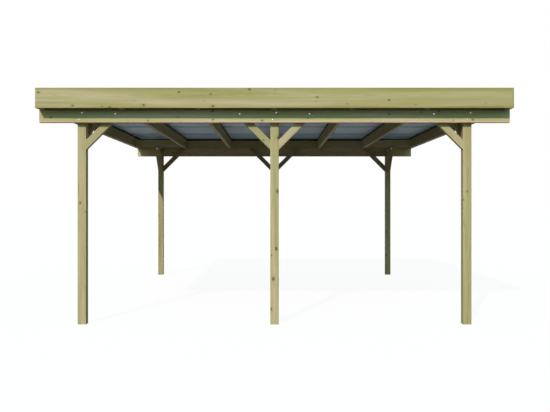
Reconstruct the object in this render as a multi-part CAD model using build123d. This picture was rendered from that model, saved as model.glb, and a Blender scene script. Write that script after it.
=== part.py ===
from build123d import *
from math import atan2, sin, tan
import os

# A free-standing double carport with a flat roof. Cars drive through along X, under the two beams'
# length. The rafters run along Y. The origin is on the ground below the middle of the roof, +Z is up,
# and all sizes are in millimetres.

# Roof edge, over the fascia boards
ROOF_LENGTH = 4930
ROOF_WIDTH = 5820
FASCIA_THICKNESS = 20
FASCIA_HEIGHT = 210

# Posts, with the roof's overhang past the end posts and past the beams' outer faces
POST_SIDE = 90
POST_HEIGHT = 2260
END_OVERHANG = 385
SIDE_OVERHANG = 134

# Beams, bolted to the outer sides of the posts
BEAM_THICKNESS = 60
BEAM_HEIGHT = 135

# Rafters, on top of the beams
RAFTER_THICKNESS = 45
RAFTER_HEIGHT = 175
RAFTER_PITCH = 795
INNER_RAFTERS = 5

# Boards between the rafters: blocking over the beams, trimmers over the rafter braces
BLOCKING_THICKNESS = 28
TRIMMER_THICKNESS = 45
TRIMMER_HEIGHT = 120

# Knee braces at 45 degrees, and how far they reach out from a post
BRACE_HEIGHT = 74
BEAM_BRACE_THICKNESS = 62
RAFTER_BRACE_THICKNESS = 84
BRACE_REACH = 415

# Rounding of the planed timber's long edges
ARRIS = 4

# Trapezoidal roof sheets. Each lies over its neighbour by one rib.
SHEETS = 5
PITCHES_PER_SHEET = 8
RIB_BASE = 70
RIB_TOP = 36
RIB_HEIGHT = 20
SHEET_THICKNESS = 1
LAP_CLEARANCE = 0.3
SHEET_EDGE_CLEARANCE = 10
SHEET_END_CLEARANCE = 5

# Places that follow from the sizes above
HALF_LENGTH = ROOF_LENGTH / 2
HALF_WIDTH = ROOF_WIDTH / 2
INNER_HALF_LENGTH = HALF_LENGTH - FASCIA_THICKNESS
INNER_HALF_WIDTH = HALF_WIDTH - FASCIA_THICKNESS
BEAM_OUTER_FACE = HALF_WIDTH - SIDE_OVERHANG
BEAM_INNER_FACE = BEAM_OUTER_FACE - BEAM_THICKNESS
BEAM_BOTTOM = POST_HEIGHT - BEAM_HEIGHT
RAFTER_TOP = POST_HEIGHT + RAFTER_HEIGHT
END_POST_X = HALF_LENGTH - END_OVERHANG - POST_SIDE / 2
POST_Y = BEAM_INNER_FACE - POST_SIDE / 2
POST_INNER_FACE = BEAM_INNER_FACE - POST_SIDE
END_RAFTER_X = INNER_HALF_LENGTH - RAFTER_THICKNESS / 2
BRACE_CUT = BRACE_HEIGHT * 2**0.5

SIDES = {"front": -1, "back": 1}
ENDS = {"left": -1, "right": 1}


def span(low, high):
    """The middle and the size of the stretch between two places."""
    return (low + high) / 2, abs(high - low)


def timber(x_range, y_range, z_range):
    """A planed board or post between the given places, with its four long edges rounded."""
    (x, size_x), (y, size_y), (z, size_z) = span(*x_range), span(*y_range), span(*z_range)
    sizes = {Axis.X: size_x, Axis.Y: size_y, Axis.Z: size_z}
    grain = max(sizes, key=sizes.get)
    block = Pos(x, y, z) * Box(size_x, size_y, size_z)
    return fillet(block.edges().filter_by(grain), ARRIS)


def brace(thickness):
    """A knee brace that rises along +X from a post face at X = 0, centred on Y = 0."""
    foot = POST_HEIGHT - BRACE_REACH
    outline = Polyline(
        (0, foot),
        (BRACE_REACH, POST_HEIGHT),
        (BRACE_REACH - BRACE_CUT, POST_HEIGHT),
        (0, foot + BRACE_CUT),
        close=True,
    )
    block = extrude(Plane.XZ * make_face(outline), thickness / 2, both=True)
    return fillet(block.edges().filter_by(Axis((0, 0, 0), (1, 0, 1))), ARRIS)


def posts():
    for side, y_sign in SIDES.items():
        for place, x in (("left", -END_POST_X), ("middle", 0), ("right", END_POST_X)):
            half = POST_SIDE / 2
            y = y_sign * POST_Y
            yield f"{side}_{place}_post", timber((x - half, x + half), (y - half, y + half), (0, POST_HEIGHT))


def beams():
    for side, y_sign in SIDES.items():
        faces = (y_sign * BEAM_INNER_FACE, y_sign * BEAM_OUTER_FACE)
        yield f"{side}_beam", timber((-HALF_LENGTH, HALF_LENGTH), faces, (BEAM_BOTTOM, POST_HEIGHT))


def rafter_places():
    """The rafters' middles along X: the inner ones at their pitch, and one against each end fascia."""
    middle = (INNER_RAFTERS - 1) / 2
    inner = [(number - middle) * RAFTER_PITCH for number in range(INNER_RAFTERS)]
    return [-END_RAFTER_X, *inner, END_RAFTER_X]


def rafter_gaps():
    """The clear stretches between neighbouring rafters, from left to right."""
    places = rafter_places()
    half = RAFTER_THICKNESS / 2
    return [(left + half, right - half) for left, right in zip(places, places[1:])]


def rafters():
    half = RAFTER_THICKNESS / 2
    for number, x in enumerate(rafter_places(), 1):
        length = (-INNER_HALF_WIDTH, INNER_HALF_WIDTH)
        yield f"rafter_{number}", timber((x - half, x + half), length, (POST_HEIGHT, RAFTER_TOP))


def blockings():
    """Boards on edge that close the roof over each beam, one between every two rafters."""
    for side, y_sign in SIDES.items():
        faces = (y_sign * BEAM_INNER_FACE, y_sign * (BEAM_INNER_FACE + BLOCKING_THICKNESS))
        boards = [timber(gap, faces, (POST_HEIGHT, RAFTER_TOP)) for gap in rafter_gaps()]
        yield f"{side}_blocking", Compound(boards)


def trimmers():
    """Boards between the two outer rafters, over the heads of the rafter braces."""
    middle = POST_INNER_FACE - BRACE_REACH + BRACE_CUT / 2
    heights = (POST_HEIGHT, POST_HEIGHT + TRIMMER_HEIGHT)
    for side, y_sign in SIDES.items():
        y = y_sign * middle
        faces = (y - TRIMMER_THICKNESS / 2, y + TRIMMER_THICKNESS / 2)
        for end, gap in (("left", rafter_gaps()[0]), ("right", rafter_gaps()[-1])):
            yield f"{side}_{end}_trimmer", timber(gap, faces, heights)


def beam_braces():
    """Braces along the beams: one inside each end post and one on both sides of a middle post."""
    rising_right = brace(BEAM_BRACE_THICKNESS)
    rising_left = mirror(rising_right, about=Plane.YZ)
    for side, y_sign in SIDES.items():
        y = y_sign * (BEAM_INNER_FACE - BEAM_BRACE_THICKNESS / 2)
        half = POST_SIDE / 2
        yield f"{side}_left_beam_brace", Pos(-END_POST_X + half, y, 0) * rising_right
        yield f"{side}_middle_left_beam_brace", Pos(-half, y, 0) * rising_left
        yield f"{side}_middle_right_beam_brace", Pos(half, y, 0) * rising_right
        yield f"{side}_right_beam_brace", Pos(END_POST_X - half, y, 0) * rising_left


def rafter_braces():
    """Braces across the carport, from each corner post up to its trimmer."""
    for side, y_sign in SIDES.items():
        turned = Rot(0, 0, -y_sign * 90) * brace(RAFTER_BRACE_THICKNESS)
        for end, x_sign in ENDS.items():
            foot = Pos(x_sign * END_POST_X, y_sign * POST_INNER_FACE, 0)
            yield f"{side}_{end}_rafter_brace", foot * turned


def fascias():
    """Four boards round the roof. Each covers the end of the one behind it, all the same way round."""
    heights = (POST_HEIGHT, POST_HEIGHT + FASCIA_HEIGHT)
    for name, y_sign in SIDES.items():
        length = (y_sign * HALF_LENGTH, -y_sign * INNER_HALF_LENGTH)
        yield f"{name}_fascia", timber(length, (y_sign * INNER_HALF_WIDTH, y_sign * HALF_WIDTH), heights)
    for name, x_sign in ENDS.items():
        length = (-x_sign * HALF_WIDTH, x_sign * INNER_HALF_WIDTH)
        yield f"{name}_fascia", timber((x_sign * INNER_HALF_LENGTH, x_sign * HALF_LENGTH), length, heights)


def rib_underside(middle, lift):
    """Four points under a rib. Lift moves them out square to the rib, to clear a rib that lies inside."""
    slope = atan2(RIB_HEIGHT, (RIB_BASE - RIB_TOP) / 2)
    base = RIB_BASE / 2 + lift / sin(slope)
    top = RIB_TOP / 2 + lift * tan(slope / 2)
    height = RIB_HEIGHT + lift
    return [(middle - base, 0), (middle - top, height), (middle + top, height), (middle + base, 0)]


def roof_sheets():
    """Sheets with their ribs along X. Each sheet's first rib lies over the last rib of the one before."""
    sheet_width = ROOF_WIDTH - 2 * FASCIA_THICKNESS - 2 * SHEET_EDGE_CLEARANCE
    pitch = (sheet_width - RIB_BASE) / (SHEETS * PITCHES_PER_SHEET)
    lift = SHEET_THICKNESS + LAP_CLEARANCE
    points = rib_underside(0, lift)
    slope = atan2(RIB_HEIGHT, (RIB_BASE - RIB_TOP) / 2)
    points[0] = (points[0][0] + lift / tan(slope), lift)
    for rib in range(1, PITCHES_PER_SHEET + 1):
        points += rib_underside(rib * pitch, 0)
    underside = Polyline(*points)
    band = offset(underside, SHEET_THICKNESS, side=Side.LEFT, kind=Kind.INTERSECTION)
    length = 2 * (INNER_HALF_LENGTH - SHEET_END_CLEARANCE)
    sheet = extrude(Plane.YZ * make_face(band), length / 2, both=True)
    first_rib = -(sheet_width - RIB_BASE) / 2
    for number in range(SHEETS):
        y = first_rib + number * PITCHES_PER_SHEET * pitch
        yield f"roof_sheet_{number + 1}", Pos(0, y, RAFTER_TOP) * sheet


os.makedirs("parts", exist_ok=True)
GROUPS = (posts, beams, rafters, blockings, trimmers, beam_braces, rafter_braces, fascias, roof_sheets)
for group in GROUPS:
    for name, shape in group():
        shape.label = name
        export_step(shape, f"parts/{name}.step")
        print(name, shape.bounding_box().size)
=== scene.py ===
# %% [markdown]
# # A timber carport with a flat roof
# The carport is a frame of planed, pressure-treated pine under ribbed roof sheets. Its posts,
# beams, braces, rafters and sheets come in as a finished frame, already in place and at their real
# size. What is left for Blender is the look: the grain and knots of each timber, the coated sheet
# metal, the zinc-plated bolts and screws that hold it together, and the light that shows them.

# %% Load the frame and keep its box
from math import pi, radians

import bpy
from mathutils import Euler, Matrix, Vector


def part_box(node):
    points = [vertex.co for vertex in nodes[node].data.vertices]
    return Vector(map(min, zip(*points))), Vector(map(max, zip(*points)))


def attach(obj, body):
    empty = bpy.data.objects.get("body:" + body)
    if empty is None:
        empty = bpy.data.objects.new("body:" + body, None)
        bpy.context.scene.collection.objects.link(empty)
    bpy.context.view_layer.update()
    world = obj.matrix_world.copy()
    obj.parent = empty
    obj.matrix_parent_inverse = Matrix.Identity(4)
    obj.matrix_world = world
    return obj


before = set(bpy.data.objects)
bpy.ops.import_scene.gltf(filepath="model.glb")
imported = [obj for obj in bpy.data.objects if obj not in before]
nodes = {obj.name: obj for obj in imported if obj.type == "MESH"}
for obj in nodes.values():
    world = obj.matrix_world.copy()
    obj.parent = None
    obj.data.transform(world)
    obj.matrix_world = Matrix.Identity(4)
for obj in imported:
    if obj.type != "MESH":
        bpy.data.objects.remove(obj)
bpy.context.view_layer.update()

# %% [markdown]
# ## Where the camera stands
# The carport is seen square-on from one long side, by somebody whose eyes are 1.28 m above the
# ground. Only a level camera that looks straight along Y keeps every post upright and every board
# level, so the camera isn't tilted. A small shift sets the picture's height instead.

# %% Camera
EYE_HEIGHT = 1.281
EYE_TO_FASCIA = 7.478
EYE_OFFSET = -0.005
SENSOR_WIDTH = 36
LENS = 47.57
SHIFT_X = 0.0017
SHIFT_Y = -0.0052

front_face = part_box("front_fascia")[0].y
camera_data = bpy.data.cameras.new("camera")
camera_data.sensor_width = SENSOR_WIDTH
camera_data.lens = LENS
camera_data.shift_x = SHIFT_X
camera_data.shift_y = SHIFT_Y
camera = bpy.data.objects.new("camera", camera_data)
bpy.context.scene.collection.objects.link(camera)
camera.location = (EYE_OFFSET, front_face - EYE_TO_FASCIA, EYE_HEIGHT)
camera.rotation_euler = (pi / 2, 0, 0)
bpy.context.scene.camera = camera
print("camera", EYE_TO_FASCIA, "m in front of the fascia")

# %% [markdown]
# ## Writing node trees
# A material is a small tree of nodes. Writing each node out by hand takes four or five lines, so a
# few short helpers do it: one adds any node and plugs values or other nodes' outputs into its
# sockets, the others add the nodes that are used most. Every material below is built with them.

# %% Helpers for single nodes
NOISE_SPAN = (0.3, 0.7)


def plug(tree, socket, value):
    """Links another node's output to the socket, or sets the socket's own value."""
    if isinstance(value, bpy.types.NodeSocket):
        tree.links.new(value, socket)
    else:
        socket.default_value = value


def add_node(tree, kind, settings=None, **inputs):
    """Adds a node with the given settings. Inputs go by their sockets' names."""
    node = tree.nodes.new(kind)
    for name, value in (settings or {}).items():
        setattr(node, name, value)
    for name, value in inputs.items():
        plug(tree, node.inputs[name.replace("_", " ")], value)
    return node


def calculate(tree, operation, *values):
    """Adds a Math node and returns its result."""
    node = add_node(tree, "ShaderNodeMath", {"operation": operation})
    for socket, value in zip(node.inputs, values):
        plug(tree, socket, value)
    return node.outputs[0]


def combine(tree, operation, *vectors):
    """Adds a Vector Math node and returns its outputs."""
    node = add_node(tree, "ShaderNodeVectorMath", {"operation": operation})
    for socket, vector in zip(node.inputs, vectors):
        plug(tree, socket, vector)
    return node.outputs


def parts_of(tree, vector):
    """The outputs X, Y and Z of a vector."""
    return add_node(tree, "ShaderNodeSeparateXYZ", Vector=vector).outputs


def length_of(tree, x, y, z):
    """The distance of a point from zero."""
    point = add_node(tree, "ShaderNodeCombineXYZ", X=x, Y=y, Z=z)
    return combine(tree, "LENGTH", point.outputs[0])["Value"]


def smooth(tree, value, low, high, start=0.0, end=1.0):
    """Runs smoothly from start to end while the value goes from low to high."""
    node = add_node(tree, "ShaderNodeMapRange", {"interpolation_type": "SMOOTHSTEP"}, Value=value)
    limits = (("From Min", low), ("From Max", high), ("To Min", start), ("To Max", end))
    for name, number in limits:
        plug(tree, node.inputs[name], number)
    return node.outputs[0]


def stretched_noise(tree, place, scale, detail):
    """Noise whose patches are as many to the metre along X, Y and Z as the scale says."""
    stretched = combine(tree, "MULTIPLY", place, scale)[0]
    noise = add_node(tree, "ShaderNodeTexNoise", Vector=stretched, Scale=1.0, Detail=detail)
    return noise.outputs[0]


def swing(tree, noise, size):
    """Noise from zero to one, changed to run from half the size below zero to half above."""
    return calculate(tree, "MULTIPLY_ADD", noise, size, -size / 2)


def colour_mix(tree, amount, below, above, blend="MIX"):
    """Lays one colour over another by the given amount, or stains one with the other."""
    node = add_node(tree, "ShaderNodeMix", {"data_type": "RGBA", "blend_type": blend})
    factor, first, second = (node.inputs[place] for place in (0, 6, 7))
    plug(tree, factor, amount)
    for socket, colour in ((first, below), (second, above)):
        linked = isinstance(colour, bpy.types.NodeSocket)
        plug(tree, socket, colour if linked else (*colour[:3], 1))
    return node.outputs[2]


print("helpers for single nodes ready")

# %% Helpers for groups, materials and shaders
FLOAT, COLOUR, VECTOR = "NodeSocketFloat", "NodeSocketColor", "NodeSocketVector"


def start_group(name, inputs, outputs):
    """A new shader node group. Inputs are (name, kind, value) and outputs are (name, kind)."""
    tree = bpy.data.node_groups.new(name, "ShaderNodeTree")
    for label, kind, value in inputs:
        socket = tree.interface.new_socket(name=label, in_out="INPUT", socket_type=kind)
        if value is not None:
            socket.default_value = value
    for label, kind in outputs:
        tree.interface.new_socket(name=label, in_out="OUTPUT", socket_type=kind)
    given = tree.nodes.new("NodeGroupInput").outputs
    result = tree.nodes.new("NodeGroupOutput").inputs
    return tree, given, result


def place_group(tree, group, **inputs):
    """Puts a group into a tree and fills its named inputs."""
    node = add_node(tree, "ShaderNodeGroup", {"node_tree": group}, **inputs)
    return node.outputs


def start_material(name):
    """A new material. Returns it with its tree and its shader."""
    material = bpy.data.materials.new(name)
    material.use_nodes = True
    return material, material.node_tree, material.node_tree.nodes["Principled BSDF"]


def set_surface(tree, shader, colour, roughness, height, strength, distance):
    """Gives a shader its colour and roughness, and bumps its surface by a height."""
    bump = add_node(tree, "ShaderNodeBump", Height=height, Strength=strength, Distance=distance)
    plug(tree, shader.inputs["Base Color"], colour)
    plug(tree, shader.inputs["Roughness"], roughness)
    plug(tree, shader.inputs["Normal"], bump.outputs[0])


def seen_directly(tree):
    """One where a ray shows what the eye sees, straight, through glass or in a reflection."""
    path = add_node(tree, "ShaderNodeLightPath").outputs
    seen = calculate(tree, "MAXIMUM", path["Is Camera Ray"], path["Is Transmission Ray"])
    return calculate(tree, "MAXIMUM", seen, path["Is Glossy Ray"])


def mix_shaders(tree, amount, first, second):
    """Mixes two shaders by the given amount."""
    node = tree.nodes.new("ShaderNodeMixShader")
    for socket, value in zip(node.inputs, (amount, first, second)):
        plug(tree, socket, value)
    return node.outputs[0]


print("helpers for groups, materials and shaders ready")

# %% [markdown]
# ## Sun and sky
# The light is a clear day. The sun stands over the viewer's left shoulder and puts the fascia's
# shadow on the beam below it. The sky is dim near the ground, where trees and houses would stand,
# and cool and bright above, so the beam in the fascia's shade looks green while the rafters deep
# under the roof stay brown, and painted shade on the beam and the rafters adds to both. It is five
# times brighter on the sun's side than on the far side, which keeps the backs of the timbers dark.
# The sky that is seen, straight or in a reflection, is plain white.

# %% Light
SUN_DIRECTION = Vector((0.358, 1.0, -0.70))
SUN_STRENGTH = 2.7
SUN_COLOUR = (1.0, 0.95, 0.87)
SUN_ANGLE = radians(0.8)
LOW_SKY = (0.34, 0.29, 0.22)
HIGH_SKY = (0.40, 0.72, 0.69)
SKY_CHANGE = (0.05, 0.30)
FAR_SIDE = 0.3
SUN_SIDE = 1.5
WHITE = (1, 1, 1, 1)

sun_data = bpy.data.lights.new("sun", "SUN")
sun_data.energy = SUN_STRENGTH
sun_data.color = SUN_COLOUR
sun_data.angle = SUN_ANGLE
sun = bpy.data.objects.new("sun", sun_data)
bpy.context.scene.collection.objects.link(sun)
sun.rotation_euler = SUN_DIRECTION.to_track_quat("-Z", "Y").to_euler()

world = bpy.data.worlds.new("sky")
bpy.context.scene.world = world
world.use_nodes = True
tree = world.node_tree
tree.nodes.clear()
direction = add_node(tree, "ShaderNodeTexCoord").outputs["Generated"]
rise = parts_of(tree, direction)["Z"]
sky = colour_mix(tree, smooth(tree, rise, *SKY_CHANGE), LOW_SKY, HIGH_SKY)
to_sun = -Vector((SUN_DIRECTION.x, SUN_DIRECTION.y, 0)).normalized()
facing_sun = combine(tree, "DOT_PRODUCT", direction, to_sun)["Value"]
brightness = smooth(tree, facing_sun, -1.0, 1.0, FAR_SIDE, SUN_SIDE)
lit_sky = add_node(tree, "ShaderNodeBackground", Color=sky, Strength=brightness)
seen_sky = add_node(tree, "ShaderNodeBackground", Color=WHITE, Strength=1.0)
background = mix_shaders(tree, seen_directly(tree), lit_sky.outputs[0], seen_sky.outputs[0])
add_node(tree, "ShaderNodeOutputWorld", Surface=background)
bpy.context.scene.view_settings.view_transform = "Standard"
print("sun strength", SUN_STRENGTH)

# %% [markdown]
# ## Floor
# The floor is plain and pale. To the eye it is almost white and shows only a faint shadow of the
# carport. The light that it throws up under the roof comes from a darker ground, as it would from
# paving, because a white floor would wash out the shade between the rafters.

# %% Floor
FLOOR_SIZE = 400
FLOOR_DROP = 0.001
FLOOR_SHADE = 0.06
GROUND_COLOUR = (0.125, 0.095, 0.073, 1)

bpy.ops.object.select_all(action="DESELECT")
bpy.ops.mesh.primitive_plane_add(size=FLOOR_SIZE, location=(0, 0, -FLOOR_DROP))
floor = bpy.context.object
floor.name = "floor"
material, tree, shader = start_material("floor")
tree.nodes.remove(shader)
glow = add_node(tree, "ShaderNodeEmission", Color=WHITE, Strength=1.0)
pale = add_node(tree, "ShaderNodeBsdfDiffuse", Color=WHITE)
ground = add_node(tree, "ShaderNodeBsdfDiffuse", Color=GROUND_COLOUR)
veil = mix_shaders(tree, FLOOR_SHADE, glow.outputs[0], pale.outputs[0])
surface = mix_shaders(tree, seen_directly(tree), ground.outputs[0], veil)
plug(tree, tree.nodes["Material Output"].inputs["Surface"], surface)
floor.data.materials.append(material)
print("floor", FLOOR_SIZE, "m across")

# %% [markdown]
# ## Pine
# The timbers are sawn from fast-grown pine, planed, and pressure treated, which turns them a pale
# yellow-green. A picture of wood stretched over each board would repeat and would break at the
# edges. So the grain here is solid: growth rings are thin shells round a pith line, slow noise
# bends them, and long streaks shift the colour from straw to olive. Every board is a window cut
# from that solid, and its end grain shows the same rings as arcs.
#
# Branches leave knots. On a planed face a small one is a dark ring round a brown core, and the
# grain flows round it. The knots come first, as a group that gives four masks: the core, the rim,
# the wood near the knot, and a halo that is drawn out along the grain. Each fades out at its own
# distance, which is counted in radii of the knot.

# %% Knots
KNOT_ROW = 0.09
KNOT_DEPTH = 0.9
KNOT_DISORDER = 0.95
KNOT_LENGTHENING = 0.75
HALO_LENGTHENING = 0.2
KNOT_CHANCE = 0.45
KNOT_SIZES = (0.02, 1.2)
OUTLINE_SCALE = 60.0
OUTLINE_SIZES = (0.8, 1.25)
CORE_FADE = (0.75, 1.05)
RIM_RISE = (0.5, 0.85)
RIM_FADE = (0.9, 1.3)
NEAR_FADE = (1.0, 3.0)
HALO_FADE = (0.4, 1.8)


def make_knots():
    """Round knots on a face whose grain runs along the first input."""
    tree, given, result = start_group(
        "pine knots",
        [("Along", FLOAT, 0.0), ("Across", FLOAT, 0.0), ("Depth", FLOAT, 0.0),
         ("Spacing", FLOAT, 0.3), ("Size", FLOAT, 0.007)],
        [("Core", FLOAT), ("Rim", FLOAT), ("Near", FLOAT), ("Halo", FLOAT)],
    )

    def away_from(middle, place, size):
        """How far a place in a cell is from the cell's middle, in metres."""
        return calculate(tree, "MULTIPLY", calculate(tree, "SUBTRACT", place, middle), size)

    def distance_from_middle(lengthening):
        """The distance from the knot's middle, with the part along the grain made shorter."""
        return length_of(tree, calculate(tree, "MULTIPLY", off_along, lengthening), off_across, 0.0)

    along = calculate(tree, "DIVIDE", given["Along"], given["Spacing"])
    across = calculate(tree, "DIVIDE", given["Across"], KNOT_ROW)
    deep = calculate(tree, "MULTIPLY", given["Depth"], KNOT_DEPTH)
    place = add_node(tree, "ShaderNodeCombineXYZ", X=along, Y=across, Z=deep).outputs[0]
    cells = add_node(tree, "ShaderNodeTexVoronoi", Vector=place, Scale=1.0,
                     Randomness=KNOT_DISORDER).outputs
    middle = parts_of(tree, cells["Position"])
    off_along = away_from(middle["X"], along, given["Spacing"])
    off_across = away_from(middle["Y"], across, KNOT_ROW)
    uneven = add_node(tree, "ShaderNodeTexNoise", Vector=place, Scale=OUTLINE_SCALE, Detail=2.0)
    uneven = smooth(tree, uneven.outputs[0], *NOISE_SPAN, *OUTLINE_SIZES)
    chance = add_node(tree, "ShaderNodeSeparateColor", Color=cells["Color"]).outputs["Red"]
    size = smooth(tree, chance, KNOT_CHANCE, 1.0, *KNOT_SIZES)
    radius = calculate(tree, "MULTIPLY", given["Size"], size)
    distance = calculate(tree, "MULTIPLY", distance_from_middle(KNOT_LENGTHENING), uneven)
    ratio = calculate(tree, "DIVIDE", distance, radius)
    rim = calculate(tree, "SUBTRACT", smooth(tree, ratio, *RIM_RISE),
                    smooth(tree, ratio, *RIM_FADE))
    halo = calculate(tree, "DIVIDE", distance_from_middle(HALO_LENGTHENING), radius)
    plug(tree, result["Core"], smooth(tree, ratio, *CORE_FADE, 1.0, 0.0))
    plug(tree, result["Rim"], rim)
    plug(tree, result["Near"], smooth(tree, ratio, *NEAR_FADE, 1.0, 0.0))
    plug(tree, result["Halo"], smooth(tree, halo, *HALO_FADE, 1.0, 0.0))
    return tree


pine_knots = make_knots()
print("knots:", len(pine_knots.nodes), "nodes")

# %% [markdown]
# The grain group takes a place whose X runs along the board, and the way the face looks. It gives
# a colour, a roughness and a height. Rings and three sizes of noise share the work: broad bands as
# wide as a hand, streaks as wide as a finger, and fine fibres that are only seen close by.

# %% Grain
MASKS = ("Core", "Rim", "Near", "Halo")
FACE_TURN = (0.5, 0.8)
RING = 0.0052
RINGS_PER_BAND = 6
RING_BEND = 0.06
RING_TREMOR = 0.005
KNOT_PUSH = 0.010
LATE_RISE = (0.3, 0.88)
LATE_FADE = (0.9, 1.0)
CRACK_SPAN = (0.715, 0.74)
OLIVE_SPAN = (0.52, 0.72)
FIBRE_SPAN = (0.45, 0.8)
TONE_SPAN = (0.0, 0.9)
BROAD_TONES = (0.1, 0.85)
BAND_TONE = 0.5
STREAK_TONE = 0.9
WOOD_ROUGHNESS = 0.62
FIBRE_ROUGHNESS = 0.25
KNOT_POLISH = 0.15
CORE_BROWN = (0.15, 0.11, 0.045)
RIM_BROWN = (0.055, 0.042, 0.018)
CRACK_BROWN = (0.07, 0.055, 0.025)
END_OLIVE = (0.30, 0.265, 0.125)


def make_grain():
    """Solid pine with its grain along X."""
    tree, given, result = start_group(
        "pine grain",
        [("Vector", VECTOR, None), ("Normal", VECTOR, None),
         ("Pale", COLOUR, (0.57, 0.455, 0.30, 1)), ("Mid", COLOUR, (0.405, 0.348, 0.16, 1)),
         ("Dark", COLOUR, (0.265, 0.228, 0.092, 1)), ("Knot Spacing", FLOAT, 0.3),
         ("Knot Size", FLOAT, 0.007), ("Cracks", FLOAT, 0.0)],
        [("Color", COLOUR), ("Roughness", FLOAT), ("Height", FLOAT)],
    )
    place = parts_of(tree, given["Vector"])
    x, y, z = place["X"], place["Y"], place["Z"]

    def noise(along, across, detail, shift=0.0):
        """Noise with so many patches to the metre along and across the grain."""
        stretched = add_node(
            tree, "ShaderNodeCombineXYZ",
            X=calculate(tree, "MULTIPLY_ADD", x, along, shift),
            Y=calculate(tree, "MULTIPLY", y, across),
            Z=calculate(tree, "MULTIPLY", z, across),
        ).outputs[0]
        node = add_node(tree, "ShaderNodeTexNoise", Vector=stretched, Scale=1.0, Detail=detail)
        return node.outputs[0]

    looks = parts_of(tree, given["Normal"])
    faces = {axis: smooth(tree, calculate(tree, "ABSOLUTE", looks[axis]), *FACE_TURN)
             for axis in "XYZ"}
    masks = {}
    for axis, across, deep in (("Y", z, y), ("Z", y, z)):
        knots = place_group(tree, pine_knots, Along=x, Across=across, Depth=deep,
                            Spacing=given["Knot Spacing"], Size=given["Knot Size"])
        for label in MASKS:
            masks[axis, label] = calculate(tree, "MULTIPLY", knots[label], faces[axis])
    core, rim, near, halo = (
        calculate(tree, "MAXIMUM", masks["Y", label], masks["Z", label]) for label in MASKS)

    radius = length_of(tree, 0.0, y, z)
    bend = swing(tree, noise(along=0.8, across=5.0, detail=2.0), RING_BEND)
    tremor = swing(tree, noise(along=5.0, across=30.0, detail=2.0, shift=3.0), RING_TREMOR)
    for push in (bend, tremor, calculate(tree, "MULTIPLY", near, KNOT_PUSH)):
        radius = calculate(tree, "ADD", radius, push)
    ring = calculate(tree, "FRACT", calculate(tree, "DIVIDE", radius, RING))
    late = calculate(tree, "MULTIPLY", smooth(tree, ring, *LATE_RISE),
                     smooth(tree, ring, *LATE_FADE, 1.0, 0.0))
    band = calculate(tree, "DIVIDE", radius, RING * RINGS_PER_BAND)
    band = add_node(tree, "ShaderNodeTexNoise", {"noise_dimensions": "1D"}, W=band, Scale=1.0,
                    Detail=3.0).outputs[0]

    broad = noise(along=0.4, across=8.0, detail=2.0, shift=7.0)
    streak = noise(along=1.3, across=55.0, detail=3.0, shift=1.0)
    fibre = noise(along=16.0, across=800.0, detail=2.0, shift=5.0)
    olive = noise(along=0.8, across=20.0, detail=2.0, shift=11.0)
    crack = noise(along=2.2, across=130.0, detail=1.0, shift=9.0)
    crack = calculate(tree, "MULTIPLY", smooth(tree, crack, *CRACK_SPAN), given["Cracks"])
    tone = smooth(tree, broad, *NOISE_SPAN, *BROAD_TONES)
    tone = calculate(tree, "ADD", tone, swing(tree, band, BAND_TONE))
    tone = calculate(tree, "ADD", tone, swing(tree, streak, STREAK_TONE))
    colour = colour_mix(tree, smooth(tree, tone, *TONE_SPAN), given["Pale"], given["Mid"])
    layers = (
        # where it lies, how much it covers, its colour
        (smooth(tree, olive, *OLIVE_SPAN), 0.35, given["Dark"]),
        (late, 0.26, given["Dark"]),
        (smooth(tree, fibre, *FIBRE_SPAN), 0.2, given["Dark"]),
        (halo, 0.55, given["Mid"]),
        (near, 0.4, given["Dark"]),
        (core, 0.8, CORE_BROWN),
        (rim, 0.75, RIM_BROWN),
        (crack, 0.8, CRACK_BROWN),
        (faces["X"], 0.4, END_OLIVE),
    )
    for mask, cover, tint in layers:
        colour = colour_mix(tree, calculate(tree, "MULTIPLY", mask, cover), colour, tint)
    plug(tree, result["Color"], colour)

    rough = calculate(tree, "ADD", WOOD_ROUGHNESS, swing(tree, fibre, FIBRE_ROUGHNESS))
    rough = calculate(tree, "MULTIPLY_ADD", core, -KNOT_POLISH, rough)
    plug(tree, result["Roughness"], rough)
    height = calculate(tree, "MULTIPLY", fibre, 0.6)
    for mask, rise in ((late, 0.5), (rim, -0.6), (crack, -1.5)):
        height = calculate(tree, "MULTIPLY_ADD", mask, rise, height)
    plug(tree, result["Height"], height)
    return tree


pine_grain = make_grain()
print("grain:", len(pine_grain.nodes), "nodes")

# %% [markdown]
# ## Painted shadow on the beams
# The outer faces of the beams lie half in the fascia's shadow. A second group paints that shadow
# and the sunlight below it into the colour, by height, and only on faces that look outwards: a
# green stain above the shadow's edge is painted shade, and a lighter tan below it is painted
# sunlight. The sun also comes in under the fascia at the left end, so there the border between
# the tints slants, as the shadow's edge does.

# %% Painted fascia shadow
# Painted shade and painted sunlight: factors on the wood's colour in and below the fascia's shadow.
PAINTED_SHADE_GREEN = (1.14, 1.56, 1.85, 1)
PAINTED_SUNLIT_TAN = (1.34, 1.30, 1.48, 1)
SUN_REACH = 0.7
OUTWARD_TURN = (0.4, 0.8)
SHADOW_EDGE_STREAKS = (1.2, 20.0, 20.0)
BORDER_WAVE = 0.03
BORDER_FADE = (-0.012, 0.012)
SLANT_FADE = (-0.01, 0.03)
PAINTED_TINT_SIZES = (0.8, 1.2)


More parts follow.
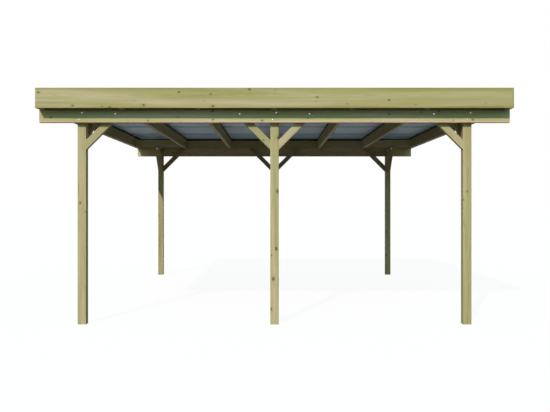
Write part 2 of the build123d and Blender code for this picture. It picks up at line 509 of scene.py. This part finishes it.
def make_weathering():
    """Painted shade in green above a height, painted sunlight in tan below it, on outward faces."""
    tree, given, result = start_group(
        "weathering",
        [("Color", COLOUR, None), ("Place", VECTOR, None), ("Normal", VECTOR, None),
         ("Edge", FLOAT, 2.17), ("Green", COLOUR, PAINTED_SHADE_GREEN), ("Tan", COLOUR, PAINTED_SUNLIT_TAN),
         ("Amount", FLOAT, 1.0), ("Left End", FLOAT, -2.465), ("Top", FLOAT, 2.26)],
        [("Color", COLOUR)],
    )
    place, looks = parts_of(tree, given["Place"]), parts_of(tree, given["Normal"])
    outwards = calculate(tree, "MULTIPLY", calculate(tree, "SIGN", place["Y"]), looks["Y"])
    outwards = smooth(tree, outwards, *OUTWARD_TURN)
    noise = stretched_noise(tree, given["Place"], SHADOW_EDGE_STREAKS, 2.0)
    edge = calculate(tree, "ADD", given["Edge"], swing(tree, noise, BORDER_WAVE))
    above = smooth(tree, calculate(tree, "SUBTRACT", place["Z"], edge), *BORDER_FADE)
    below_top = calculate(tree, "SUBTRACT", given["Top"], place["Z"])
    reach = calculate(tree, "MULTIPLY", below_top, SUN_REACH)
    from_end = calculate(tree, "SUBTRACT", place["X"], given["Left End"])
    inside = smooth(tree, calculate(tree, "SUBTRACT", from_end, reach), *SLANT_FADE)
    # Painted shade above the shadow's edge, cut back where the sun comes in at the left end.
    green = calculate(tree, "MULTIPLY", above, inside)
    tint = colour_mix(tree, green, given["Tan"], given["Green"])
    amount = calculate(tree, "MULTIPLY", outwards, given["Amount"])
    amount = calculate(tree, "MULTIPLY", amount, smooth(tree, noise, *NOISE_SPAN, *PAINTED_TINT_SIZES))
    plug(tree, result["Color"], colour_mix(tree, amount, given["Color"], tint, "MULTIPLY"))
    return tree


weathering = make_weathering()
print("weathering:", len(weathering.nodes), "nodes")

# %% [markdown]
# A wide board reaches out to the young sapwood at its edges, and sapwood drinks more of the
# treatment. So the fascias get a third group, a deeper yellow-green stain along their upper and
# lower edges. Noise moves its border, and in some places lets it fade out.

# %% Sapwood
SAPWOOD_STAIN = (0.83, 0.83, 0.68)
SAPWOOD_SCALE = 1.1
SAPWOOD_WAVE = 0.12
SAPWOOD_FADE = (0.2, 1.0)


def make_sapwood():
    """A stain along the upper and lower edges of a board."""
    tree, given, result = start_group(
        "sapwood",
        [("Color", COLOUR, None), ("Place", VECTOR, None), ("Bottom", FLOAT, 2.26),
         ("Top", FLOAT, 2.47), ("Reach", FLOAT, 0.06)],
        [("Color", COLOUR)],
    )
    height = parts_of(tree, given["Place"])["Z"]
    inwards = calculate(tree, "MINIMUM", calculate(tree, "SUBTRACT", height, given["Bottom"]),
                        calculate(tree, "SUBTRACT", given["Top"], height))
    noise = add_node(tree, "ShaderNodeTexNoise", Vector=given["Place"], Scale=SAPWOOD_SCALE,
                     Detail=1.0).outputs[0]
    inwards = calculate(tree, "ADD", inwards, swing(tree, noise, SAPWOOD_WAVE))
    share = calculate(tree, "DIVIDE", inwards, given["Reach"])
    amount = smooth(tree, share, *SAPWOOD_FADE, 1.0, 0.0)
    stained = colour_mix(tree, amount, given["Color"], SAPWOOD_STAIN, "MULTIPLY")
    plug(tree, result["Color"], stained)
    return tree


sapwood = make_sapwood()
print("sapwood:", len(sapwood.nodes), "nodes")

# %% [markdown]
# ## One finish for each timber
# No two boards come from the same place in a tree. So every timber gets a material of its own,
# with the shared groups inside. A Mapping node turns the board's long axis to X and moves the
# board to its own place near the pith: posts have the pith inside them, boards are sawn beside it.

# %% A timber's finish
WOOD_BUMP = 0.3
WOOD_RELIEF = 0.0006
WOOD_GLOSS = 0.08


def pine(name, turn, pith, tones):
    """Pine for the timber of this name. The turn brings its long axis to X."""
    material, tree, shader = start_material(name)
    low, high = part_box(name)
    centre = Euler(turn).to_matrix() @ ((low + high) / 2)
    coordinates = add_node(tree, "ShaderNodeTexCoord").outputs
    place, normal = coordinates["Object"], coordinates["Normal"]
    grain_place = add_node(tree, "ShaderNodeMapping", {"vector_type": "POINT"}, Vector=place,
                           Rotation=turn, Location=Vector(pith) - centre)
    grain_normal = add_node(tree, "ShaderNodeMapping", {"vector_type": "NORMAL"}, Vector=normal,
                            Rotation=turn)
    grain = place_group(tree, pine_grain, Vector=grain_place.outputs[0],
                        Normal=grain_normal.outputs[0], **tones)
    colour = grain["Color"]
    if name.endswith("fascia"):
        colour = place_group(tree, sapwood, Color=colour, Place=place,
                             Bottom=low.z, Top=high.z)["Color"]
    # Painted shadow of the fascia on the beams, with painted sunlight below it.
    if name.endswith("_beam"):
        colour = place_group(tree, weathering, Color=colour, Place=place, Normal=normal,
                             Left_End=low.x, Top=high.z)["Color"]
    set_surface(tree, shader, colour, grain["Roughness"], grain["Height"], WOOD_BUMP, WOOD_RELIEF)
    shader.inputs["Specular IOR Level"].default_value = WOOD_GLOSS
    return material


def dress(name, material):
    """Gives a piece of the frame its finish."""
    mesh = nodes[name].data
    mesh.materials.clear()
    mesh.materials.append(material)


print("finish for one timber ready")

# %% [markdown]
# The turns come from where a timber lies in the frame. The rafters and the side boards run along
# Y, the posts stand, and the braces rise at 45 degrees.

# %% How each timber is turned
ALONG_X = (0, 0, 0)
ALONG_Y = (0, 0, -pi / 2)
ALONG_Z = (0, pi / 2, 0)
RISING_RIGHT = (0, pi / 4, 0)
RISING_LEFT = (0, -pi / 4, 0)
RISING_BACK = (-pi / 4, 0, -pi / 2)
RISING_FRONT = (pi / 4, 0, -pi / 2)


def turn_of(name):
    """How the timber of this name is turned to lie along X."""
    if name.endswith("post"):
        return ALONG_Z
    if name.startswith("rafter") or name in ("left_fascia", "right_fascia"):
        return ALONG_Y
    if name.endswith("rafter_brace"):
        return RISING_BACK if name.startswith("front") else RISING_FRONT
    if name.endswith("beam_brace"):
        rising_right = name.endswith("_left_beam_brace") != ("middle" in name)
        return RISING_RIGHT if rising_right else RISING_LEFT
    return ALONG_X


timbers = sorted(name for name in nodes if not name.startswith("roof_sheet"))
print("turns of", len(timbers), "timbers known")

# %% [markdown]
# The wood differs from one kind of timber to the next. The rafters get darker, browner tones,
# which is painted shade for their place deep under the roof. The blocking, the trimmers and the
# beam at the back get lighter tones, which is painted light that lifts them out of their deep
# shade. The posts have fine cracks, and each kind has its own spacing of knots. In the table
# below, the last line that fits a name counts, and a shift picks a stretch of wood whose knots
# fall in good places.

# %% Dress the timbers
# Painted light for timber in deep shade, and painted shade for the rafters: lighter and darker
# tones.
PAINTED_FILL_LIGHT_TONES = {"Pale": (0.80, 0.66, 0.47, 1), "Mid": (0.62, 0.53, 0.29, 1),
             "Dark": (0.42, 0.36, 0.17, 1)}
PAINTED_SHADE_TONES = {"Pale": (0.52, 0.42, 0.25, 1), "Mid": (0.37, 0.31, 0.14, 1),
          "Dark": (0.24, 0.195, 0.08, 1)}
KINDS = (
    # how the name starts and ends, the tones, the shift along the grain
    ("rafter", "", PAINTED_SHADE_TONES, 0.0),
    ("", "post", {"Cracks": 1.0, "Knot Spacing": 0.4}, 0.0),
    ("", "middle_post", {"Cracks": 1.0, "Knot Spacing": 0.3, "Knot Size": 0.011}, 1.4),
    ("", "brace", {"Knot Spacing": 0.6}, 0.0),
    ("", "blocking", PAINTED_FILL_LIGHT_TONES, 0.0),
    ("", "trimmer", PAINTED_FILL_LIGHT_TONES, 0.0),
    ("back", "_beam", PAINTED_FILL_LIGHT_TONES, 0.0),
    ("front", "_beam", {"Knot Spacing": 0.17}, 0.0),
    ("front", "fascia", {"Knot Spacing": 0.36}, 3.3),
)
GOLDEN_SHARE = 0.618
BOARD_STEP = 3.7
POST_PITH = ((0.0, 0.025), (0.02, -0.03))
BOARD_PITH = ((0.03, 0.03), (0.02, -0.05))

for number, name in enumerate(timbers):
    tones, shift = {}, 0.0
    for start, end, own_tones, own_shift in KINDS:
        if name.startswith(start) and name.endswith(end):
            tones, shift = own_tones, own_shift
    spread = number * GOLDEN_SHARE % 1
    beside = POST_PITH if name.endswith("post") else BOARD_PITH
    pith = (number * BOARD_STEP + shift, *(first + step * spread for first, step in beside))
    dress(name, pine(name, turn_of(name), pith, tones))
print(len(timbers), "timbers dressed")

# %% [markdown]
# ## Roof sheets
# The sheets are steel with a different coat on each side: dark grey on top, and a paler and bluer
# one underneath. A coating is smooth but never quite even: rolled metal waves a little, and dust
# settles in the troughs on top and washes along the ribs. The gloss matters most. Under the roof
# the sheets are seen at a very flat angle, and there even a dull coating mirrors the bright ground
# outside, which is what lifts the sheets out of the shade.

# %% Coated metal
COATING = (0.29, 0.28, 0.31)
BACKING = (0.46, 0.64, 0.84)
DUST = (0.52, 0.50, 0.45)
COATING_ROUGHNESS = 0.35
BACKING_ROUGHNESS = 0.45
DUST_ROUGHNESS = 0.35
WAVE_ROUGHNESS = (-0.02, 0.02)
DUST_COVER = 0.45
DUST_FILM = 0.08
DUST_STREAKS = (1.5, 25.0, 25.0)
DUST_SPAN = (0.35, 0.75)
CREST_DUST = 0.3
TURN_UP = (0.2, 0.8)
TURN_DOWN = (-0.2, 0.2)
METAL_WAVES = (1.5, 1.5, 1.5)
WAVE_BUMP = 0.1
WAVE_RELIEF = 0.002


def make_dust():
    """Dust on faces that look up, more of it low down on the profile, drawn out along X."""
    tree, given, result = start_group(
        "dust",
        [("Place", VECTOR, None), ("Normal", VECTOR, None), ("Low", FLOAT, 0.0),
         ("High", FLOAT, 1.0)],
        [("Amount", FLOAT), ("Wave", FLOAT), ("Under", FLOAT)],
    )
    height = parts_of(tree, given["Place"])["Z"]
    looks = parts_of(tree, given["Normal"])["Z"]
    share = calculate(tree, "DIVIDE", calculate(tree, "SUBTRACT", height, given["Low"]),
                      calculate(tree, "SUBTRACT", given["High"], given["Low"]))
    patches = smooth(tree, stretched_noise(tree, given["Place"], DUST_STREAKS, 4.0), *DUST_SPAN)
    trough = smooth(tree, share, 0.0, 1.0, 1.0, CREST_DUST)
    amount = calculate(tree, "MULTIPLY", calculate(tree, "MULTIPLY", trough, patches),
                       smooth(tree, looks, *TURN_UP))
    plug(tree, result["Amount"], amount)
    plug(tree, result["Wave"], stretched_noise(tree, given["Place"], METAL_WAVES, 4.0))
    plug(tree, result["Under"], smooth(tree, looks, *TURN_DOWN, 1.0, 0.0))
    return tree


dust = make_dust()
sheet_low, sheet_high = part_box("roof_sheet_1")
coated, tree, shader = start_material("coated steel")
coordinates = add_node(tree, "ShaderNodeTexCoord").outputs
settled = place_group(tree, dust, Place=coordinates["Object"], Normal=coordinates["Normal"],
                      Low=sheet_low.z, High=sheet_high.z)
wave, under = settled["Wave"], settled["Under"]
shade = colour_mix(tree, under, COATING, BACKING)
shade = colour_mix(tree, smooth(tree, wave, *NOISE_SPAN, 0.0, DUST_FILM), shade, DUST)
cover = calculate(tree, "MULTIPLY", settled["Amount"], DUST_COVER)
shade = colour_mix(tree, cover, shade, DUST)
rough = smooth(tree, under, 0.0, 1.0, COATING_ROUGHNESS, BACKING_ROUGHNESS)
rough = calculate(tree, "ADD", rough, smooth(tree, wave, *NOISE_SPAN, *WAVE_ROUGHNESS))
rough = calculate(tree, "MULTIPLY_ADD", settled["Amount"], DUST_ROUGHNESS, rough)
set_surface(tree, shader, shade, rough, wave, WAVE_BUMP, WAVE_RELIEF)
sheets = sorted(name for name in nodes if name.startswith("roof_sheet"))
for name in sheets:
    dress(name, coated)
print(len(sheets), "sheets dressed")

# %% [markdown]
# ## Zinc and rubber
# Every bolt and screw is zinc plated. Zinc is light grey, clouds over in small patches, and is
# never mirror smooth. The washers under the roof screws are black rubber, and the same black is
# used for the painted shade strips on the rafters, the blocking and the laps. It only needs a dull
# surface with a little unevenness in it.

# %% Zinc and rubber
ZINC = (0.62, 0.63, 0.62)
CLOUDED_ZINC = (0.46, 0.47, 0.46)
# Black for the rubber washers, and for the painted shade strips.
RUBBER_AND_SHADE_BLACK = (0.010, 0.010, 0.011)
DULL_RUBBER_AND_SHADE_BLACK = (0.020, 0.020, 0.022)
PATCH_SPAN = (0.35, 0.7)
GRAINS_PER_PATCH = 6.0
PATCH_ROUGHNESS = 0.15
GRAIN_BUMP = 0.2
GRAIN_RELIEF = 0.0002


def make_clouds():
    """Small soft patches, for surfaces that dulled unevenly."""
    tree, given, result = start_group(
        "clouds", [("Place", VECTOR, None), ("Scale", FLOAT, 300.0)],
        [("Amount", FLOAT), ("Grain", FLOAT)])
    patches = add_node(tree, "ShaderNodeTexNoise", Vector=given["Place"], Scale=given["Scale"],
                       Detail=3.0)
    finer = calculate(tree, "MULTIPLY", given["Scale"], GRAINS_PER_PATCH)
    grains = add_node(tree, "ShaderNodeTexNoise", Vector=given["Place"], Scale=finer, Detail=1.0)
    plug(tree, result["Amount"], smooth(tree, patches.outputs[0], *PATCH_SPAN))
    plug(tree, result["Grain"], grains.outputs[0])
    return tree


clouds = make_clouds()


def clouded(name, bright, dull, roughness, metallic, scale, gloss):
    """A surface that runs in patches from bright and smooth to dull and rougher."""
    material, tree, shader = start_material(name)
    place = add_node(tree, "ShaderNodeTexCoord").outputs["Object"]
    patch = place_group(tree, clouds, Place=place, Scale=scale)
    shade = colour_mix(tree, patch["Amount"], bright, dull)
    rough = calculate(tree, "MULTIPLY_ADD", patch["Amount"], PATCH_ROUGHNESS, roughness)
    set_surface(tree, shader, shade, rough, patch["Grain"], GRAIN_BUMP, GRAIN_RELIEF)
    shader.inputs["Metallic"].default_value = metallic
    shader.inputs["Specular IOR Level"].default_value = gloss
    return material


zinc = clouded("zinc plate", ZINC, CLOUDED_ZINC, roughness=0.2, metallic=1.0, scale=300.0,
               gloss=0.5)
# Rubber washers, and the black of the painted shade strips.
rubber_and_painted_shade = clouded("black rubber", RUBBER_AND_SHADE_BLACK, DULL_RUBBER_AND_SHADE_BLACK, roughness=0.8, metallic=0.0, scale=120.0,
                 gloss=0.1)
print("zinc and rubber ready")

# %% [markdown]
# ## Modelling by hand, in code
# The small pieces are modelled as they would be by hand: add a primitive, go into edit mode,
# select some faces, and bevel, inset or extrude them. The operators act on all that is selected,
# so one helper selects exactly the faces that pass a test on their middle and their normal.

# %% Modelling helpers
SMOOTH_ANGLE = radians(35)
LEVEL = 0.9
HAIR = 1e-6
ROUND = 32
HEXAGON = 6


def set_mode(mode):
    """Goes into edit mode or back to object mode."""
    bpy.ops.object.mode_set(mode=mode)


def pick(piece, mode, test):
    """Goes into edit mode with only those faces or vertices selected that pass the test."""
    set_mode("EDIT")
    bpy.ops.mesh.select_mode(type=mode)
    bpy.ops.mesh.select_all(action="DESELECT")
    set_mode("OBJECT")
    for part in piece.data.polygons if mode == "FACE" else piece.data.vertices:
        part.select = test(part)
    set_mode("EDIT")


def pick_top(piece):
    """Goes into edit mode with only the uppermost face selected."""
    top = max(vertex.co.z for vertex in piece.data.vertices)
    pick(piece, "FACE", lambda face: face.normal.z > LEVEL and face.center.z > top - HAIR)


def add_cylinder(sides, radius, bottom, top):
    """A cylinder round Z between two heights, as the only thing selected."""
    bpy.ops.object.select_all(action="DESELECT")
    bpy.ops.mesh.primitive_cylinder_add(
        vertices=sides, radius=radius, depth=top - bottom, location=(0, 0, (top + bottom) / 2))
    bpy.ops.object.transform_apply(location=True, rotation=True, scale=True)
    return bpy.context.object


def add_disc(sides, radius, bottom, top, rounding, steps):
    """A cylinder whose upper rim is rounded."""
    piece = add_cylinder(sides, radius, bottom, top)
    pick_top(piece)
    bpy.ops.mesh.bevel(offset=rounding, segments=steps, affect="EDGES")
    set_mode("OBJECT")
    return piece


def join(pieces, name, material):
    """Makes one piece of several, shaded smooth except at its sharper edges."""
    bpy.ops.object.select_all(action="DESELECT")
    for piece in pieces:
        piece.select_set(True)
    bpy.context.view_layer.objects.active = pieces[0]
    if len(pieces) > 1:
        bpy.ops.object.join()
    piece = bpy.context.object
    piece.name = name
    bpy.ops.object.shade_smooth_by_angle(angle=SMOOTH_ANGLE)
    if not piece.data.materials:
        piece.data.materials.append(material)
    return piece


def place_copy(model, name, place, axis=(0, 0, 1), roll=0.0):
    """A copy that rides on root, with its Z turned to the axis and its foot at the place."""
    piece = bpy.data.objects.new(name, model.data.copy())
    bpy.context.scene.collection.objects.link(piece)
    turn = Vector(axis).to_track_quat("Z", "Y").to_matrix().to_4x4()
    piece.data.transform(Matrix.Translation(place) @ turn @ Matrix.Rotation(roll, 4, "Z"))
    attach(piece, "root")
    return piece


def remove_models(*models):
    """Removes the models that copies were taken from."""
    for model in models:
        bpy.data.objects.remove(model)


print("modelling helpers ready")

# %% [markdown]
# ## Bolts through beams and posts
# Two coach bolts hold each beam to each post. Outside there is a domed head on a washer, inside a
# washer, a hexagon nut and the end of the thread. The dome could be half a sphere, but a real head
# is flatter: a short cylinder whose rim gets a wide round bevel has just that shape. The thread
# grows by extruding its end face in short steps, each drawn in or out.

# %% Coach bolt, washer and nut
WASHER_RADIUS = 0.0098
WASHER_THICKNESS = 0.002
WASHER_ROUNDING = 0.0005
DOME_RADIUS = 0.0082
DOME_HEIGHT = 0.005
DOME_ROUNDING = 0.0046
NUT_RADIUS = 0.0075
NUT_HEIGHT = 0.0065
NUT_ROUNDING = 0.0009
THREAD_RADIUS = 0.004
THREAD_SIDES = 20
THREAD_STEP = 0.0009
THREAD_TURNS = 4
THREAD_WAIST = 0.86


def add_washer():
    """A round washer that lies at height zero."""
    return add_disc(ROUND, WASHER_RADIUS, 0, WASHER_THICKNESS, WASHER_ROUNDING, steps=2)


dome_top = WASHER_THICKNESS + DOME_HEIGHT
dome = add_disc(ROUND, DOME_RADIUS, WASHER_THICKNESS, dome_top, DOME_ROUNDING, steps=6)
bolt_head = join([add_washer(), dome], "bolt_head", zinc)

nut_top = WASHER_THICKNESS + NUT_HEIGHT
nut = add_disc(HEXAGON, NUT_RADIUS, WASHER_THICKNESS, nut_top, NUT_ROUNDING, steps=2)
thread = add_cylinder(THREAD_SIDES, THREAD_RADIUS, nut_top, nut_top + THREAD_STEP)
for width in (THREAD_WAIST, 1 / THREAD_WAIST) * THREAD_TURNS:
    pick_top(thread)
    bpy.ops.mesh.extrude_region_move(TRANSFORM_OT_translate={"value": (0, 0, THREAD_STEP)})
    bpy.ops.transform.resize(value=(width, width, 1))
    set_mode("OBJECT")
bolt_nut = join([add_washer(), nut, thread], "bolt_nut", zinc)
print("bolt head", len(bolt_head.data.polygons), "faces, nut", len(bolt_nut.data.polygons), "faces")

# %% [markdown]
# Seen from outside, the two bolts of a pair don't stand above one another, so that they don't
# split the same fibres: one is up and to the right of the post's middle, the other down and to the
# left.

# %% Bolts on the beams, nuts on the posts
BOLTS = ((0.018, 0.106), (-0.018, 0.031))
NUT_ROLL = 0.7
SIDES = {"front": -1, "back": 1}
OUTWARDS = {side: Vector((0, sign, 0)) for side, sign in SIDES.items()}

bolts = 0
for side, sign in SIDES.items():
    beam_low, beam_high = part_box(f"{side}_beam")
    outer = beam_low.y if sign < 0 else beam_high.y
    for end in ("left", "middle", "right"):
        post_low, post_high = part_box(f"{side}_{end}_post")
        inner = post_high.y if sign < 0 else post_low.y
        middle = (post_low.x + post_high.x) / 2
        for number, (across, up) in enumerate(BOLTS, 1):
            spot = Vector((middle - sign * across, outer, beam_low.z + up))
            name = f"{side}_{end}_bolt_{number}"
            place_copy(bolt_head, name + "_head", spot, OUTWARDS[side])
            spot.y = inner
            place_copy(bolt_nut, name + "_nut", spot, -OUTWARDS[side], roll=bolts * NUT_ROLL)
            bolts += 1
remove_models(bolt_head, bolt_nut)
print(bolts, "bolts with their nuts")

# %% [markdown]
# ## Screws in the braces
# Wood screws with a wide flat head, like a small plate, pull the braces tight: one at the head of
# each brace, and one through the upper side of its foot into the post. The head screw of a beam
# brace comes through the beam from outside, and that of a rafter brace goes up into the trimmer
# from below.
#
# The screw's head is a low cylinder with a rounded rim. Its star-shaped drive starts as a small
# round inset. Every other pair of corners is then drawn in, which leaves six points. The face in
# the inset is pushed down first, so that the floor of the drive is drawn in with its rim.

# %% Plate-head screw
PLATE_RADIUS = 0.0092
PLATE_HEIGHT = 0.003
PLATE_ROUNDING = 0.002
DRIVE_RADIUS = 0.003
DRIVE_DEPTH = 0.0022
DRIVE_CORNERS = 24
DRIVE_DRAW = 0.72

plate = add_disc(DRIVE_CORNERS, PLATE_RADIUS, 0, PLATE_HEIGHT, PLATE_ROUNDING, steps=3)
pick_top(plate)
bpy.ops.mesh.inset(thickness=PLATE_RADIUS - PLATE_ROUNDING - DRIVE_RADIUS)
bpy.ops.mesh.extrude_region_move(TRANSFORM_OT_translate={"value": (0, 0, -DRIVE_DEPTH)})
set_mode("OBJECT")
drive = [v for v in plate.data.vertices if v.co.xy.length < DRIVE_RADIUS + PLATE_ROUNDING]
drive.sort(key=lambda v: (round(v.co.z, 5), v.co.xy.angle_signed(Vector((1, 0)))))
drawn_in = {vertex.index for place, vertex in enumerate(drive) if place % 4 in (0, 1)}
pick(plate, "VERT", lambda vertex: vertex.index in drawn_in)
bpy.ops.transform.resize(value=(DRIVE_DRAW, DRIVE_DRAW, 1), center_override=(0, 0, 0))
set_mode("OBJECT")
plate_screw = join([plate], "plate_screw", zinc)
print("plate-head screw", len(plate_screw.data.polygons), "faces")

# %% Screws at both ends of every brace
HEAD_SCREW = (0.321, 0.093)
FOOT_SCREW = 0.084
UNDER_SCREW = 0.385
SLOPE_SINK = 0.0003
BRACE_FOOT_TOP = 0.10465

screws = 0
for name in [n for n in timbers if n.endswith("beam_brace")]:
    side = name.split("_")[0]
    low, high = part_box(name)
    beam_low, beam_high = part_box(f"{side}_beam")
    rising_right = turn_of(name) == RISING_RIGHT
    away = 1 if rising_right else -1
    foot = low.x if rising_right else high.x
    outer = beam_low.y if side == "front" else beam_high.y
    spot = Vector((foot + away * HEAD_SCREW[0], outer, beam_low.z + HEAD_SCREW[1]))
    place_copy(plate_screw, name + "_head_screw", spot, OUTWARDS[side], roll=screws)
    middle = (low.y + high.y) / 2
    slope = Vector((-away, 0, 1)).normalized()
    spot = Vector((foot + away * FOOT_SCREW, middle, low.z + BRACE_FOOT_TOP + FOOT_SCREW))
    place_copy(plate_screw, name + "_foot_screw", spot - slope * SLOPE_SINK, slope, roll=screws)
    screws += 2
for name in [n for n in timbers if n.endswith("rafter_brace")]:
    low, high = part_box(name)
    away = 1 if name.startswith("front") else -1
    foot = low.y if away > 0 else high.y
    middle = (low.x + high.x) / 2
    slope = Vector((0, -away, 1)).normalized()
    spot = Vector((middle, foot + away * FOOT_SCREW, low.z + BRACE_FOOT_TOP + FOOT_SCREW))
    place_copy(plate_screw, name + "_foot_screw", spot - slope * SLOPE_SINK, slope, roll=screws)
    spot = Vector((middle, foot + away * UNDER_SCREW, low.z + UNDER_SCREW))
    place_copy(plate_screw, name + "_head_screw", spot + slope * SLOPE_SINK, -slope, roll=screws)
    screws += 2
print(screws, "brace screws")

# %% [markdown]
# The trimmers carry the rafter braces. Each is held by two of the same screws through the side of
# the second rafter, one above the other.

# %% Screws into the trimmers
TRIMMER_SCREWS = (0.030, 0.090)
TRIMMER_ROLL = 40

for name in [n for n in timbers if n.endswith("trimmer")]:
    low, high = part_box(name)
    away = 1 if "left" in name else -1
    rafter_low, rafter_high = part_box("rafter_2" if away > 0 else "rafter_6")
    face = rafter_high.x if away > 0 else rafter_low.x
    for number, up in enumerate(TRIMMER_SCREWS, 1):
        spot = Vector((face, (low.y + high.y) / 2, low.z + up))
        screw_name = f"{name}_screw_{number}"
        place_copy(plate_screw, screw_name, spot, (away, 0, 0), roll=up * TRIMMER_ROLL)
        screws += 1
remove_models(plate_screw)
print(screws, "plate-head screws in all")

# %% [markdown]
# ## Painted shade strips on the rafters
# Thin black flaps hang down beside the tops of the rafters and of the blocking by about two and a
# half centimetres, as a thin black line under the sheets. They are painted shade: a black strip
# put where the gap between the timber and the sheets would lie in shade. Nothing is put on top of
# the timber, where it couldn't be seen. A flap is a thin bar, its lower edge drawn out a little
# from the wood and all its edges rounded.

# %% Painted shade strips
SHADE_STRIP_DROP = 0.026
SHADE_STRIP_THICKNESS = 0.0012
SHADE_STRIP_LEAN = 0.0015
SHADE_STRIP_TOP = 0.002
SHADE_STRIP_ROUNDING = 0.0004


def add_bar(low, high, lean=(0, 0, 0), rounding=SHADE_STRIP_ROUNDING):
    """A bar between two corners. Its lower face is drawn sideways and its edges are rounded."""
    low, high = Vector(low), Vector(high)
    bpy.ops.object.select_all(action="DESELECT")
    bpy.ops.mesh.primitive_cube_add(size=1, location=(low + high) / 2, scale=high - low)
    bpy.ops.object.transform_apply(location=True, rotation=True, scale=True)
    bar = bpy.context.object
    pick(bar, "FACE", lambda face: face.normal.z < -LEVEL)
    bpy.ops.transform.translate(value=lean)
    bpy.ops.mesh.select_all(action="SELECT")
    bpy.ops.mesh.bevel(offset=rounding, segments=2, affect="EDGES")
    set_mode("OBJECT")
    return bar


rafters = sorted(name for name in nodes if name.startswith("rafter_"))
front_low, front_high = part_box("front_blocking")
back_low, back_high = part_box("back_blocking")
stretches = (
    (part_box("front_fascia")[1].y, front_low.y),
    (front_high.y, back_low.y),
    (back_high.y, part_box("back_fascia")[0].y),
)
# Painted shade: a black flap beside each face of a rafter that isn't against a side fascia.
for name in rafters:
    low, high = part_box(name)
    top = high.z - SHADE_STRIP_TOP
    bars = []
    for face, out, against_fascia in ((low.x, -1, rafters[0]), (high.x, 1, rafters[-1])):
        if name == against_fascia:
            continue
        near, far = sorted((face, face + out * SHADE_STRIP_THICKNESS))
        lean = (out * SHADE_STRIP_LEAN, 0, 0)
        bars += [add_bar((near, start, top - SHADE_STRIP_DROP), (far, end, top), lean)
                 for start, end in stretches]
    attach(join(bars, name + "_tape", rubber_and_painted_shade), "root")
print(len(rafters), "rafters taped")

# %% Painted shade strips on the blocking
bays = [(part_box(left)[1].x + SHADE_STRIP_THICKNESS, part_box(right)[0].x - SHADE_STRIP_THICKNESS)
        for left, right in zip(rafters, rafters[1:])]
# Painted shade: black flaps along both faces of each row of blocking, in every bay.
for side in SIDES:
    low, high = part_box(f"{side}_blocking")
    top = high.z - SHADE_STRIP_TOP
    bars = []
    for face, out in ((low.y, -1), (high.y, 1)):
        near, far = sorted((face, face + out * SHADE_STRIP_THICKNESS))
        lean = (0, out * SHADE_STRIP_LEAN, 0)
        bars += [add_bar((start, near, top - SHADE_STRIP_DROP), (end, far, top), lean)
                 for start, end in bays]
    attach(join(bars, f"{side}_blocking_tape", rubber_and_painted_shade), "root")
print("painted_shade_strip on both rows of blocking in", len(bays), "bays")

# %% [markdown]
# ## Painted shade at the laps
# Where one sheet lies over the next, a black bead hangs under the lap as painted shade: a
# dark line put where the lap's opening would lie in shade. It is a soft flat bar along the lower
# sheet's edge, from rafter to rafter.

# %% Painted shade at the laps
BEAD_WIDTH = 0.012
BEAD_DROP = 0.0035
BEAD_SINK = 0.0005
BEAD_ROUNDING = 0.0015

# Painted shade: one black bead under each lap, in every bay.
for lower in sheets[:-1]:
    low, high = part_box(lower)
    near, far = high.y - BEAD_WIDTH / 2, high.y + BEAD_WIDTH / 2
    bars = [add_bar((start, near, low.z - BEAD_DROP), (end, far, low.z + BEAD_SINK),
                    rounding=BEAD_ROUNDING) for start, end in bays]
    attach(join(bars, lower + "_lap_painted_shade", rubber_and_painted_shade), "root")
print(len(sheets) - 1, "laps sealed")

# %% [markdown]
# ## Roof screws
# The sheets are screwed to the rafters through the crests of their ribs, at every second rib. Each
# screw has a rubber washer, a flange and a hexagon head. There are well over a hundred of them, so
# the head is kept to a few dozen faces. One screw is modelled and copied, and the copies on a
# rafter are joined to one piece.

# %% Roof screw
ROOF_SCREW_PARTS = (
    # sides, radius, bottom, top, rounding, material
    (12, 0.0070, 0.0000, 0.0018, 0.0006, rubber_and_painted_shade),
    (12, 0.0064, 0.0018, 0.0030, 0.0005, zinc),
    (HEXAGON, 0.0046, 0.0030, 0.0070, 0.0006, zinc),
)

parts = []
for sides, radius, bottom, top, rounding, material in ROOF_SCREW_PARTS:
    part = add_disc(sides, radius, bottom, top, rounding, steps=1)
    part.data.materials.append(material)
    parts.append(part)
roof_screw = join(parts, "roof_screw", zinc)
print("roof screw", len(roof_screw.data.polygons), "faces")

# %% Roof screws on every rafter
RIB_BASE = 0.070
RIBS_PER_SHEET = 8
RIBS_PER_SCREW = 2
LAP_LIFT = 0.0013
SCREW_ROLL = 1.3

ribs = len(sheets) * RIBS_PER_SHEET
first_high, last_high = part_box(sheets[0])[1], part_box(sheets[-1])[1]
pitch = (last_high.y - first_high.y) / (len(sheets) - 1) / RIBS_PER_SHEET
last_rib = last_high.y - RIB_BASE / 2
placed = 0
for number, name in enumerate(rafters, 1):
    low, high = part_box(name)
    row = []
    for rib in range(0, ribs + 1, RIBS_PER_SCREW):
        lapped = rib % RIBS_PER_SHEET == 0 and rib < ribs
        crest = first_high.z if lapped else first_high.z - LAP_LIFT
        spot = ((low.x + high.x) / 2, last_rib - (ribs - rib) * pitch, crest)
        row.append(place_copy(roof_screw, f"roof_screw_{placed}", spot, roll=placed * SCREW_ROLL))
        placed += 1
    for screw in row:
        screw.parent = None
    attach(join(row, f"roof_screws_{number}", zinc), "root")
remove_models(roof_screw)
print(placed, "roof screws on", len(rafters), "rafters, pitch of the ribs", round(pitch, 5))
